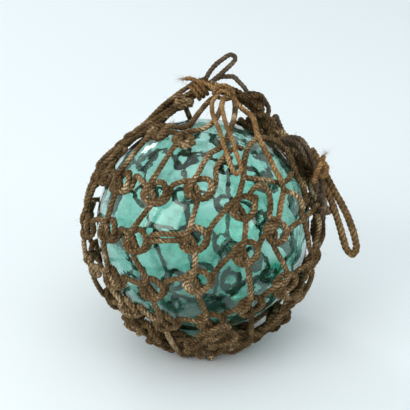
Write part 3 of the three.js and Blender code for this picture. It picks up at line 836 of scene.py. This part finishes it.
def bundle_and_mouth(work):
    for phase in (0, 0.34, 0.67):
        bundle, edge = beside(BUNDLE_LINE, BUNDLE_WIND, phase), beside(MOUTH_EDGE, MOUTH_WIND, phase)
        work.add(bundle, NET_CORD, NET_LAY, tone=chance.uniform(0.3, 0.6))
        work.add(edge[::2], NET_CORD, NET_LAY, tone=chance.uniform(0.2, 0.6))
    for at, half in [GATHER] + MOUTH_BUNCHES:
        for turn in (0.2, 1.7, 3.3):
            middle = in_metres(at) + chance.normal(scale=0.003, size=3)
            turned = turn + chance.normal(scale=0.3)
            knot_on(work, middle, half * 0.001, turned, chance.uniform(0.2, 0.7))
    foot = in_metres(LOOP_FOOT)
    knot = min(knots.values(), key=lambda at: np.linalg.norm(at - foot[-1]))
    work.add(np.vstack([foot, knot]), NET_CORD, NET_LAY, tone=0.45)
    work.add(in_metres(INNER_LINE), NET_CORD, NET_LAY, tone=0.55)
    work.add(in_metres(LOOP_EAR), NET_CORD, NET_LAY, tone=0.6)
    stub = work.add(in_metres(KNOT_STUB), NET_CORD, NET_LAY, tone=0.5)
    work.tuft(stub[-1], stub[-1] - stub[-3], 40, 0.005, 0.001)
    # A second cord lies close below one leg at the front
    start, end = made_knots[1, 1][1][-1, :3], made_knots[1, 2][0][0, :3]
    below = knot_frame((1, 1))[1] * -0.9 * NET_CORD
    past = (end - start) * 0.25
    work.add([start - past + below, (start + end) / 2 + below, end + past + below], NET_CORD, NET_LAY,
             tone=0.5)
    work.add(in_metres(SIDE_LEG), NET_CORD, NET_LAY, tone=0.5)


def tarry_loops(work):
    for route in (STANDING_LOOP, LOW_LOOP, SIDE_LOOP, THIN_LOOP):
        work.add(in_metres(route), LOOP_CORD, NET_LAY, tone=0.4)
    side = in_metres(SIDE_ROPES)
    for phase in (0.1, 0.45, 0.8):
        work.add(beside(side, SIDE_WIND, phase), NET_CORD, NET_LAY, tone=chance.uniform(0.2, 0.5))
    end = work.add(in_metres(CURLED_END), NET_CORD, NET_LAY, tone=0.5)
    work.tuft(end[-1], end[-1] - end[-3], 40, 0.008, 0.002)


def bunched_start(work, low):
    for radius, height in START_COILS:
        bearing = np.linspace(0, 2 * np.pi, COIL_POINTS)
        reach = radius + chance.normal(scale=COIL_SPREAD, size=COIL_POINTS)
        coil = np.column_stack([np.cos(bearing) * reach, np.sin(bearing) * reach,
                                np.full(COIL_POINTS, height)])
        coil[:, 2] += chance.normal(scale=COIL_RISE, size=COIL_POINTS)
        coil[-1] = coil[0]
        work.add(START_CENTRE + coil, NET_CORD, NET_LAY, tone=0.4)
    for index in range(START_KNOTS):
        bearing = 2 * np.pi * (index + chance.uniform(-0.2, 0.2)) / START_KNOTS
        out = np.array((np.cos(bearing), np.sin(bearing), 0))
        at = START_CENTRE + out * START_RING + (0, 0, START_KNOT_HEIGHT)
        knot_on(work, at, START_KNOT_HALF, chance.uniform(0, 6.3), chance.uniform(0.2, 0.6), lean=1.0)
    for east, north in LOW_KNOTS:
        at = over_ball(east, north, LOW_LIFT)
        knot_on(low, at, LOW_KNOT_HALF, chance.uniform(0, 6.3), chance.uniform(0.2, 0.6), lean=0.9)


def rope_net():
    halves = [RopeWork(), RopeWork()]
    for index, places in enumerate(cords_of_net()):
        halves[index % 2].add(places, NET_CORD, NET_LAY, tone=chance.uniform(0.35, 0.65))
    edge, start, low, loops, golden = [RopeWork() for _ in range(5)]
    bundle_and_mouth(edge)
    bunched_start(start, low)
    tarry_loops(loops)
    golden.add(in_metres(GOLDEN_LEG), NET_CORD, NET_LAY, tone=0.6, fuzz=2 * FUZZ)
    low.add(in_metres(FRAYED_COIL), NET_CORD, NET_LAY, tone=0.5, fuzz=14 * FUZZ)
    frayed = golden.add(in_metres(FRAYED_KNOT), NET_CORD, NET_LAY, tone=0.6, fuzz=9 * FUZZ)
    golden.tuft(frayed[-1], (0.4, -0.1, 0.7), 60, 0.009, 0.5)
    for work, name, material, slot in (
            (halves[0], "net_cords", NET_ROPE, "net_rope"),
            (halves[1], "net_cords_between", NET_ROPE, "net_rope"),
            (edge, "net_mouth", NET_ROPE, "net_rope"),
            (start, "net_start", NET_ROPE, "net_rope"),
            (low, "net_low_knots", NET_ROPE, "net_rope"),
            (loops, "stiff_loops", TARRY_ROPE, "net_rope"),
            (golden, "golden_leg", GOLDEN_CORD, "golden_cord")):
        piece = work.piece(name, material)
        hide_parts("rope_net")


rope_net()


# The lashing

def lashing():
    work = RopeWork()
    foot, head = in_metres(BUNDLE)
    way = unit(head - foot)
    side = unit(np.cross(way, (0, 0, 1)))
    up = np.cross(way, side)
    turns = np.linspace(-LASHING_TURNS / 2, LASHING_TURNS / 2, LASHING_POINTS)
    angle = 2 * np.pi * turns[:, None]
    winding = foot + (head - foot) * LASHING_AT + way * turns[:, None] * BIGHT_CORD \
        + (BUNDLE_RADIUS + BIGHT_CORD / 2) * (np.cos(angle) * side + np.sin(angle) * up)
    work.add(winding, BIGHT_CORD, NET_LAY, tone=0.3, fuzz=2 * FUZZ)
    tail = work.add(in_metres(LASHING_TAIL), BIGHT_CORD, NET_LAY, tone=0.6, fuzz=3 * FUZZ)
    work.tuft(tail[0], tail[0] - tail[3], 90, 0.009, 0.003, tone=0.8)
    work.add(in_metres(LASHING_HUMP), BIGHT_CORD, NET_LAY, tone=0.6, fuzz=2 * FUZZ)
    piece = work.piece("lashing", GOLDEN_CORD)
    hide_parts("lashing_cord")


lashing()


# The glass ball

WAVES_OUTSIDE, WAVES_INSIDE = 0.00030, 0.00035
WAVE_SCALE = 30  # to a metre


def glass_ball():
    """A hollow shell, faintly wavy on both sides."""
    work = bmesh.new()
    for radius, waves, inside in (
            (BALL_RADIUS, WAVES_OUTSIDE, False), (BALL_RADIUS - GLASS_WALL, WAVES_INSIDE, True)):
        made = bmesh.ops.create_icosphere(work, subdivisions=6, radius=radius)["verts"]
        for vert in made:
            ripple = noise.noise(vert.co * WAVE_SCALE + Vector((3, 1, 7) if inside else (0, 0, 0)))
            vert.co *= 1 + waves * ripple / radius
        if inside:
            faces = {face for vert in made for face in vert.link_faces}
            bmesh.ops.reverse_faces(work, faces=list(faces))
    mesh = bpy.data.meshes.new("glass_ball")
    work.to_mesh(mesh)
    mesh.transform(Matrix.Translation(Vector(BALL_CENTRE)))
    mesh.polygons.foreach_set("use_smooth", np.ones(len(mesh.polygons), bool))
    mesh.materials.append(glass_material())
    ball = bpy.data.objects.new("glass_ball_shell", mesh)
    bpy.context.scene.collection.objects.link(ball)
    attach(ball, "root")
    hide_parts("glass_ball")


glass_ball()


# Floor and light

FLOOR_HALF = 60
FLOOR_DROP = 0.0004  # below the part's ground plane


def make_floor():
    mesh = bpy.data.meshes.new("floor")
    corners = [(x * FLOOR_HALF, y * FLOOR_HALF, 0) for x, y in ((-1, -1), (1, -1), (1, 1), (-1, 1))]
    mesh.from_pydata(corners, [], [(0, 1, 2, 3)])
    material, shader = new_material("pale floor")
    shader.inputs["Base Color"].default_value = (0.80, 0.86, 0.89, 1)
    shader.inputs["Roughness"].default_value = 0.7
    shader.inputs["Specular IOR Level"].default_value = 0.2
    mesh.materials.append(material)
    floor = bpy.data.objects.new("floor", mesh)
    floor.location.z = -FLOOR_DROP
    bpy.context.scene.collection.objects.link(floor)


def softbox(name, direction, distance, size, power, roll=0.0):
    """A lit panel that faces the ball, off in the direction given."""
    data = bpy.data.lights.new(name, "AREA")
    data.shape = "RECTANGLE"
    data.size, data.size_y = size
    data.energy = power
    data.color = (1, 0.98, 0.95)
    lamp = bpy.data.objects.new(name, data)
    away = Vector(direction).normalized()
    lamp.location = Vector(BALL_CENTRE) + away * distance
    facing = (-away).to_track_quat("-Z", "Y").to_matrix() @ Matrix.Rotation(math.radians(roll), 3, "Z")
    lamp.rotation_euler = facing.to_euler()
    bpy.context.scene.collection.objects.link(lamp)


def make_light():
    world = bpy.data.worlds.new("studio")
    bpy.context.scene.world = world
    world.use_nodes = True
    light = world.node_tree.nodes["Background"]
    light.inputs["Color"].default_value = (0.89, 0.94, 0.95, 1)
    light.inputs["Strength"].default_value = 0.82
    softbox("key strip", (-0.42, 0.72, 0.56), 3.5, (0.4, 1.6), 15, roll=23)
    softbox("left window", (-0.57, -0.67, 0.48), 3.2, (1.35, 2.1), 30)
    softbox("left window's side light", (-0.76, -0.43, 0.48), 3.2, (0.42, 2.1), 10)
    softbox("overhead", (0.10, -0.35, 0.93), 3.5, (3, 3), 22)
    softbox("left pane", (-0.91, -0.32, 0.25), 3.2, (0.5, 1.7), 5)
    softbox("right window", (0.80, -0.53, 0.27), 3.2, (0.6, 1.7), 9)
    bpy.context.scene.view_settings.view_transform = "Standard"


make_floor()
make_light()
